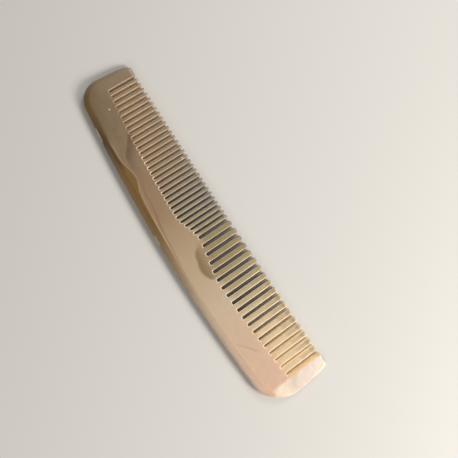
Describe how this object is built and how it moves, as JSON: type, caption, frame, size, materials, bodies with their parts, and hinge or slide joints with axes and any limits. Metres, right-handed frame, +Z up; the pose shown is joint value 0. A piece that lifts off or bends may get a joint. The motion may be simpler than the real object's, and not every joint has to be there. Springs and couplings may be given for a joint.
{
  "type": "horn dressing comb",
  "caption": "Long flat hair comb of blond horn with a curved back, a solid guard at each end, and fine teeth on one half and coarse teeth on the other.",
  "frame": {"origin": "middle of the comb's box, at the height of the face it rests on", "axes": "+X along the comb towards its coarse teeth, +Y from the back to the tooth tips, +Z up through the thickness"},
  "size_m": [0.178, 0.0374, 0.0048],
  "materials": {
    "horn": "polished blond horn, darker and browner towards the fine teeth"
  },
  "bodies": {
    "root": {"comb": "horn"}
  },
  "joints": []
}
